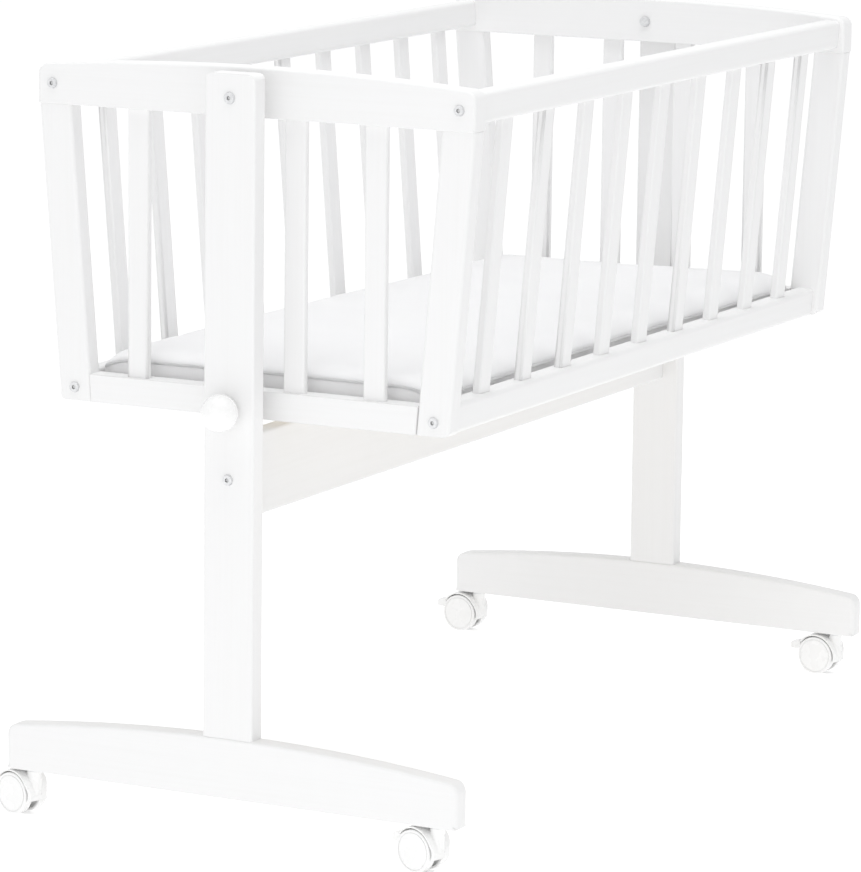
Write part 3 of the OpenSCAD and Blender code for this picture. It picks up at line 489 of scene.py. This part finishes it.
def ease_edges(obj, width):
    """Welds the split CAD mesh, merges flat triangles, breaks sharp edges and evens normals."""
    weld = obj.modifiers.new("weld", "WELD")
    weld.merge_threshold = WELD_GAP
    flat = obj.modifiers.new("flat", "DECIMATE")
    flat.decimate_type = "DISSOLVE"
    flat.angle_limit = FLAT_WITHIN
    if width:
        bevel = obj.modifiers.new("bevel", "BEVEL")
        bevel.width = width
        bevel.segments = BROKEN_SEGMENTS
        bevel.limit_method = "ANGLE"
        bevel.angle_limit = SHARP_FROM
        bevel.harden_normals = False
        bevel.use_clamp_overlap = True
    normals = obj.modifiers.new("normals", "WEIGHTED_NORMAL")
    normals.weight = BOARD_NORMALS
    normals.keep_sharp = True


def dress(obj, material):
    obj.data.materials.clear()
    obj.data.materials.append(material)


# ---- Pieces built in mesh code ----
def mesh_piece(name, verts, faces, material, body, smooth=True):
    mesh = bpy.data.meshes.new(name)
    mesh.from_pydata(verts, [], faces)
    mesh.validate()
    obj = bpy.data.objects.new(name, mesh)
    SCENE.collection.objects.link(obj)
    mesh.materials.append(material)
    for p in mesh.polygons:
        p.use_smooth = smooth
    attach(obj, body)
    return obj


# Steps round the lower corners, the upper corners, the arch and the long edges
LOW_STEPS, CORNER_STEPS, ARCH_STEPS, EDGE_STEPS = 4, 14, 60, 6
SAME_POINT = 0.05 * MM


def arched_outline(half, end_h, crown, r, low_r):
    """Points and outward normals, in Y and Z, of a board with an arched top and round corners."""
    arch_r = (half * half + crown * crown) / (2 * crown)
    arch_z = end_h + crown - arch_r
    corner_z = arch_z + math.sqrt((arch_r - r) ** 2 - (half - r) ** 2)
    tilt = math.atan2(corner_z - arch_z, half - r)
    out = []

    def arc(cy, cz, radius, start, stop, steps):
        for i in range(steps + 1):
            a = start + (stop - start) * i / steps
            normal = (math.cos(a), math.sin(a))
            out.append(((cy + radius * normal[0], cz + radius * normal[1]), normal))

    arc(half - low_r, low_r, low_r, -math.pi / 2, 0, LOW_STEPS)
    arc(half - r, corner_z, r, 0, tilt, CORNER_STEPS)
    arc(0, arch_z, arch_r, tilt, math.pi - tilt, ARCH_STEPS)
    arc(r - half, corner_z, r, math.pi - tilt, math.pi, CORNER_STEPS)
    arc(low_r - half, low_r, low_r, math.pi, math.pi * 1.5, LOW_STEPS)
    clean = []
    for point, normal in out:
        if not clean or math.dist(point, clean[-1][0]) > SAME_POINT:
            clean.append((point, normal))
    return clean


def arched_board(name, node, sizes, edges, material, body):
    """A board across the cradle with rounded long edges: edges = (top, end, underside) radii."""
    low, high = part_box(node)
    x0, x1, z0 = low.x, high.x, low.z
    outline = arched_outline((high.y - low.y) / 2, *sizes)
    top, end, under = edges

    def edge_radius(normal):
        side, up = abs(normal[0]), normal[1]
        vertical = top if up > 0 else under
        share = side * side
        return vertical * (1 - share) + end * share

    rings = []
    mid, half_t = (x0 + x1) / 2, (x1 - x0) / 2
    for sign in (-1, 1):
        for i in range(EDGE_STEPS + 1):
            share = i / EDGE_STEPS
            a = math.pi / 2 * (1 - share if sign < 0 else share)
            ring = []
            for (y, z), n in outline:
                rho = edge_radius(n)
                inset = rho * (1 - math.cos(a))
                x = mid + sign * (half_t - rho + rho * math.sin(a))
                ring.append((x, y - n[0] * inset, z0 + z - n[1] * inset))
            rings.append(ring)
    count = len(outline)
    verts = [p for ring in rings for p in ring]
    faces = []
    for j in range(len(rings) - 1):
        for k in range(count):
            n = (k + 1) % count
            faces.append((j * count + k, j * count + n,
                          (j + 1) * count + n, (j + 1) * count + k))
    faces.append(tuple(range(count)))
    last = (len(rings) - 1) * count
    faces.append(tuple(last + k for k in reversed(range(count))))
    obj = mesh_piece(name, verts, faces, material, body)
    normals = obj.modifiers.new("normals", "WEIGHTED_NORMAL")
    normals.weight = ARCH_NORMALS
    fix_winding(obj)
    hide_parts(node)


def fix_winding(obj):
    """Turns all faces outwards."""
    made = bmesh.new()
    made.from_mesh(obj.data)
    bmesh.ops.recalc_face_normals(made, faces=made.faces)
    made.to_mesh(obj.data)
    made.free()


# Height at the ends, rise of the arch, and radius of the upper and of the lower corners
TOP_RAIL = (40 * MM, 10 * MM, 11 * MM, 1.5 * MM)
FOOT_BAR = (46 * MM, 16 * MM, 12 * MM, 2.5 * MM)
# Radii of their long edges on top, at the ends and on the underside
TOP_RAIL_EDGES = (3.2 * MM, 3.2 * MM, 1.2 * MM)
FOOT_BAR_EDGES = (3.0 * MM, 6.0 * MM, 0.9 * MM)


def arched_boards(paint):
    for side in ("left", "right"):
        arched_board(side + "_top_rail_rounded", side + "_end_top_rail", TOP_RAIL,
                     TOP_RAIL_EDGES, paint, "basket")
        arched_board(side + "_foot_bar_rounded", side + "_foot_bar", FOOT_BAR,
                     FOOT_BAR_EDGES, paint, "stand")


# Clamp screw: its thread from the tip to the knob, and a plain end inside the knob
THREAD_PITCH = 1.25 * MM
THREAD_OUT, THREAD_ROOT = 3.98 * MM, 3.36 * MM
THREAD_AROUND, THREAD_STEPS = 36, 6
# Steepness of the flanks, and length and depth of the pointed tip
THREAD_FLANK = 2.4
TIP_LENGTH, TIP_DEPTH = 0.9 * MM, 0.5 * MM
KNOB_OVERLAP = 1 * MM


def threaded_screw(steel):
    """Rings of points whose radius rises and falls along the helix of the thread."""
    low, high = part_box("lock_screw")
    zc = (low.z + high.z) / 2
    x_tip, x_knob = high.x, low.x
    thread_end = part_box("lock_knob")[1].x - KNOB_OVERLAP
    around = THREAD_AROUND
    verts, faces, xs = [], [], []
    x = x_tip
    while x > thread_end:
        xs.append(x)
        x -= THREAD_PITCH / THREAD_STEPS
    xs += [thread_end, x_knob]
    for x in xs:
        for k in range(around):
            a = 2 * math.pi * k / around
            phase = ((x_tip - x) / THREAD_PITCH + k / around) % 1.0
            rise = min(1.0, THREAD_FLANK * abs(phase - 0.5))
            r = THREAD_ROOT + (THREAD_OUT - THREAD_ROOT) * rise
            taper = min(1.0, (x_tip - x) / TIP_LENGTH)
            r = min(r, THREAD_ROOT - TIP_DEPTH + taper * (THREAD_OUT - THREAD_ROOT + TIP_DEPTH))
            if x <= thread_end:
                r = THREAD_OUT
            verts.append((x, r * math.cos(a), zc + r * math.sin(a)))
    for j in range(len(xs) - 1):
        for k in range(around):
            n = (k + 1) % around
            faces.append((j * around + k, j * around + n,
                          (j + 1) * around + n, (j + 1) * around + k))
    faces.append(tuple(range(around)))
    faces.append(tuple((len(xs) - 1) * around + k for k in reversed(range(around))))
    obj = mesh_piece("clamp_screw_threaded", verts, faces, steel, "lock",
                     smooth=False)
    fix_winding(obj)
    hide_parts("lock_screw")


# ---- Mattress ----
# Half length and half width of the pad before it swells, and what its faces in Z are drawn in
START_HALF = (448.6 * MM, 192.8 * MM)
START_LOW = 1.5 * MM
# Radius of the solid's corners, and how much of them the pad fills
CAD_CORNER_R = 22 * MM
CORNER_FILL = 0.72
# Room in the basket: half width between the side rails at LEAN_TOP, less lower down
SIDE_LEAN = math.tan(math.radians(4.6))
RAIL_INNER = 218.96 * MM
LEAN_TOP = 753 * MM
RAIL_GAP = 0.5 * MM
END_ROOM = 452.4 * MM
VOXEL = 5 * MM


def room_for(co, low_z):
    """Keeps a point of the mattress inside the basket and above the base slats."""
    side = RAIL_INNER - SIDE_LEAN * (LEAN_TOP - co.z) - RAIL_GAP
    co.y = max(-side, min(side, co.y))
    co.x = max(-END_ROOM, min(END_ROOM, co.x))
    co.z = max(low_z, co.z)


# The photographed pad lies lower from SAG_FROM to SAG_TO along X, most at the back
SAG = 7.0 * MM
SAG_FROM, SAG_TO = -0.20, 0.45
SAG_AT_FRONT = 0.35
WAVE = 0.7 * MM
# The part of the pad's height, from below, that these leave alone
SETTLE_FROM = 0.25
# The upper edges along the sides are rounder than those at the ends
SIDE_DROOP, SIDE_DROOP_W = 14.0 * MM, 34 * MM
END_DROOP, END_DROOP_W = 3.0 * MM, 14 * MM
DROOP_MOST = 1.1


def fill_corner(co, half):
    """Pushes the solid's round corners out, because the photographed pad has tight ones."""
    u, v = ((abs(co[i]) - half[i] + CAD_CORNER_R) / CAD_CORNER_R for i in (0, 1))
    if u > 0 and v > 0:
        stretch = CORNER_FILL * (math.hypot(u, v) / max(u, v) - 1)
        for i, share in ((0, u), (1, v)):
            co[i] += math.copysign(share * stretch * CAD_CORNER_R, co[i])


def smooth_share(value, low, high):
    """0 below low, 1 above high, with a smooth rise between them."""
    t = max(0.0, min(1.0, (value - low) / (high - low)))
    return t * t * (3 - 2 * t)


def settle(co, low, high):
    """Lowers the pad's upper side where the photograph shows it lower, a little unevenly."""
    height = smooth_share(co.z, low.z + SETTLE_FROM * (high.z - low.z), high.z)
    across = (co.y - low.y) / (high.y - low.y)
    deep = SAG_AT_FRONT + (1 - SAG_AT_FRONT) * across
    sag = SAG * smooth_share(co.x, SAG_FROM, SAG_TO) * deep
    # Crossing waves 0.7 and 0.5 m long, and a slanting one of 0.2 m
    uneven = math.sin(9.1 * co.x + 1.3) * math.sin(13.7 * co.y + 0.4)
    uneven += 0.6 * math.sin(21.3 * co.x - 17.9 * co.y)
    near_side = max(0.0, 1 - (START_HALF[1] - abs(co.y)) / SIDE_DROOP_W)
    near_end = max(0.0, 1 - (START_HALF[0] - abs(co.x)) / END_DROOP_W)
    droop = SIDE_DROOP * min(near_side, DROOP_MOST) ** 2
    droop += END_DROOP * min(near_end, DROOP_MOST) ** 2
    co.z -= height * (sag + droop + WAVE * (0.8 + 0.5 * uneven))


# How the cover behaves while pressure swells it, and how far a point may move
CLOTH_SETTINGS = {
    "quality": 5,
    "mass": 0.25,
    "tension_stiffness": 18,
    "compression_stiffness": 18,
    "shear_stiffness": 8,
    "bending_stiffness": 0.6,
    "use_pressure": True,
    "uniform_pressure_force": 4.0,
}
CLOTH_FRAMES = 20
SWELL_CAP = 4.0 * MM


def swell(obj):
    """Lets the remeshed pad swell as a stuffed cloth cover, with its points' moves capped."""
    rest = [v.co.copy() for v in obj.data.vertices]
    mod = obj.modifiers.new("cloth", "CLOTH")
    for key, value in CLOTH_SETTINGS.items():
        setattr(mod.settings, key, value)
    mod.settings.effector_weights.gravity = 0.0
    mod.collision_settings.use_collision = False
    mod.point_cache.frame_start, mod.point_cache.frame_end = 1, CLOTH_FRAMES
    SCENE.frame_start, SCENE.frame_end = 1, CLOTH_FRAMES
    for f in range(1, CLOTH_FRAMES + 1):
        SCENE.frame_set(f)
    shaped = obj.evaluated_get(bpy.context.evaluated_depsgraph_get()).data
    moved = [v.co.copy() for v in shaped.vertices]
    obj.modifiers.remove(mod)
    for v, a, b in zip(obj.data.vertices, rest, moved):
        step = b - a
        if step.length > SWELL_CAP:
            step = step.normalized() * SWELL_CAP
        v.co = a + step
    SCENE.frame_set(1)


def mattress(cover):
    """The pad: a copy of the solid that is remeshed, swollen and settled into the basket."""
    source = NODES["mattress"]
    low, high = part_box("mattress")
    centre = (low + high) / 2
    obj = source.copy()
    obj.data = source.data.copy()
    obj.name = "mattress_cover"
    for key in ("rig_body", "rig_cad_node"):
        if key in obj:
            del obj[key]
    obj.parent = None
    obj.modifiers.clear()
    SCENE.collection.objects.link(obj)
    half = (high - low) / 2
    for v in obj.data.vertices:
        fill_corner(v.co, half)
        for i in (0, 1):
            v.co[i] *= START_HALF[i] / half[i]
        v.co.z = centre.z + (v.co.z - centre.z) * (1 - START_LOW / half.z)
    weld = bmesh.new()
    weld.from_mesh(obj.data)
    bmesh.ops.remove_doubles(weld, verts=weld.verts, dist=WELD_GAP)
    weld.to_mesh(obj.data)
    weld.free()
    obj.data.remesh_voxel_size = VOXEL
    bpy.context.view_layer.objects.active = obj
    obj.select_set(True)
    bpy.ops.object.voxel_remesh()
    swell(obj)
    for v in obj.data.vertices:
        settle(v.co, low, high)
        room_for(v.co, low.z)
    obj.data.materials.clear()
    obj.data.materials.append(cover)
    sub = obj.modifiers.new("sub", "SUBSURF")
    sub.levels = sub.render_levels = 1
    for p in obj.data.polygons:
        p.use_smooth = True
    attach(obj, "basket")
    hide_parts("mattress")
    return obj, low, high


# Piping: a thin covered cord sewn round the upper and the lower edge of the mattress
PIPING_R = 1.6 * MM
PIPING_HEIGHTS = (("upper", 31.5 * MM), ("lower", 5.0 * MM))
PIPING_HALF = (450 * MM, 194 * MM)
PIPING_CORNER_R = 8 * MM
# Points along the cord and round it, rounds of smoothing, and how far it stands off the pad
PIPING_STEPS, PIPING_AROUND, PIPING_ROUNDS = 420, 10, 3
PIPING_PROUD = 0.35
CORNER_POINTS = 16


def round_outline(half_x, half_y, r, z):
    """Points round a rectangle with round corners, counter-clockwise."""
    path = []
    for sx, sy, start in ((1, 1, 0.0), (-1, 1, 0.5), (-1, -1, 1.0), (1, -1, 1.5)):
        for i in range(CORNER_POINTS + 1):
            a = math.pi * (start + i / (2 * CORNER_POINTS))
            x = sx * (half_x - r) + r * math.cos(a)
            y = sy * (half_y - r) + r * math.sin(a)
            path.append(Vector((x, y, z)))
    return path


def piping(pad, low, high, cover):
    """Lays a cord along each outline, on the nearest place of the finished pad."""
    tree = BVHTree.FromObject(pad, bpy.context.evaluated_depsgraph_get())
    for name, rise in PIPING_HEIGHTS:
        seated = []
        outline = round_outline(*PIPING_HALF, PIPING_CORNER_R, low.z + rise)
        for p in evenly(outline, PIPING_STEPS):
            settle(p, low, high)
            near, normal, _, _ = tree.find_nearest(p)
            if near is not None:
                seated.append(near + normal * (PIPING_R * PIPING_PROUD))
        seated = relax(seated, PIPING_ROUNDS)
        tube("piping_" + name, seated, PIPING_R, cover, "basket")


def evenly(path, count):
    """The closed path resampled at equal steps."""
    lengths = [0.0]
    for a, b in zip(path, path[1:] + path[:1]):
        lengths.append(lengths[-1] + (b - a).length)
    total, out, j = lengths[-1], [], 0
    for i in range(count):
        goal = total * i / count
        while lengths[j + 1] < goal:
            j += 1
        share = (goal - lengths[j]) / max(lengths[j + 1] - lengths[j], 1e-9)
        out.append(path[j].lerp(path[(j + 1) % len(path)], share))
    return out


def relax(path, rounds):
    """The closed path with each point moved towards its two neighbours."""
    count = len(path)
    for _ in range(rounds):
        path = [(path[i - 1] + path[i] * 2 + path[(i + 1) % count]) / 4 for i in range(count)]
    return path


def tube(name, path, radius, material, body):
    """A round tube along a closed path."""
    verts, faces, count = [], [], len(path)
    around = PIPING_AROUND
    for i, p in enumerate(path):
        ahead = (path[(i + 1) % count] - path[i - 1]).normalized()
        side = ahead.cross(Vector((0, 0, 1))).normalized()
        up = side.cross(ahead)
        for k in range(around):
            a = 2 * math.pi * k / around
            out = side * (radius * math.cos(a)) + up * (radius * math.sin(a))
            verts.append(tuple(p + out))
    for i in range(count):
        for k in range(around):
            n, m = (k + 1) % around, (i + 1) % count
            faces.append((i * around + k, i * around + n, m * around + n, m * around + k))
    fix_winding(mesh_piece(name, verts, faces, material, body))


# ---- Which material each node gets ----
def dress_nodes():
    paint = {axis: painted_wood(axis) for axis in "XYZ"}
    birch = {axis: bare_wood(axis) for axis in "XYZ"}
    steel, nylon_mat = plated_steel(), nylon()
    boards_z = ["left_post", "right_post", "left_end_slats", "right_end_slats"]
    boards_z += ["front_slats", "back_slats"]
    boards_z += ["%s_corner_post" % c for c in CORNERS]
    boards_x = ["stretcher", "front_top_rail", "back_top_rail"]
    boards_x += ["front_bottom_rail", "back_bottom_rail"]
    boards_y = ["left_end_bottom_rail", "right_end_bottom_rail"]
    for names, axis in ((boards_z, "Z"), (boards_x, "X"), (boards_y, "Y")):
        for name in names:
            dress(NODES[name], paint[axis])
            # The slats' edges are rounded in the CAD
            ease_edges(NODES[name], 0.0 if name.endswith("slats") else BROKEN_EDGE)
    # These four are hidden by rounded boards
    for name in ("left_end_top_rail", "right_end_top_rail", "left_foot_bar", "right_foot_bar"):
        dress(NODES[name], paint["Y"])
    for name, axis in (("front_ledger", "X"), ("back_ledger", "X"), ("base_slats", "Y"),
                       ("foot_dowels", "Z"), ("stretcher_dowels", "X"), ("end_dowels", "Z")):
        dress(NODES[name], birch[axis])
        ease_edges(NODES[name], 0.0)
    for name in ("stretcher_bolts", "stretcher_nuts", "pivot_bolts", "pivot_nuts",
                 "corner_bolts", "corner_nuts", "caster_stems", "lock_screw"):
        dress(NODES[name], steel)
    dress(NODES["lock_insert"], brass())
    for name in ("pivot_spacers", "pivot_bushes"):
        dress(NODES[name], nylon_mat)
    knob_low, knob_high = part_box("lock_knob")
    knob_ring = ((knob_low + knob_high) / 2, (1, 0, 0))
    dress(NODES["lock_knob"], gloss_plastic("knob_plastic", knob_ring))
    spins = {j["child"]: j for j in frame["joints"] if j["name"].endswith("_spin")}
    shell = gloss_plastic("caster_plastic")
    for corner in CORNERS:
        dress(NODES[corner + "_hood"], shell)
        dress(NODES[corner + "_brake"], shell)
        dress(NODES[corner + "_axle"], steel)
        for which in ("outer", "inner"):
            name = "%s_%s_wheel" % (corner, which)
            ring = (spins[name]["pos_m"], spins[name]["axis"])
            dress(NODES[name], gloss_plastic("wheel_plastic_" + name[:-6], ring))
    return paint, steel


# ---- The scene ----
SCENE.view_settings.view_transform = "Standard"
camera()
world()
floor()
for light in LIGHTS:
    area_light(*light)
paints, steel_mat = dress_nodes()
arched_boards(paints["Y"])
threaded_screw(steel_mat)
cover_cloth = woven_cover()
pad_obj, pad_low, pad_high = mattress(cover_cloth)
bpy.context.view_layer.update()
piping(pad_obj, pad_low, pad_high, cover_cloth)
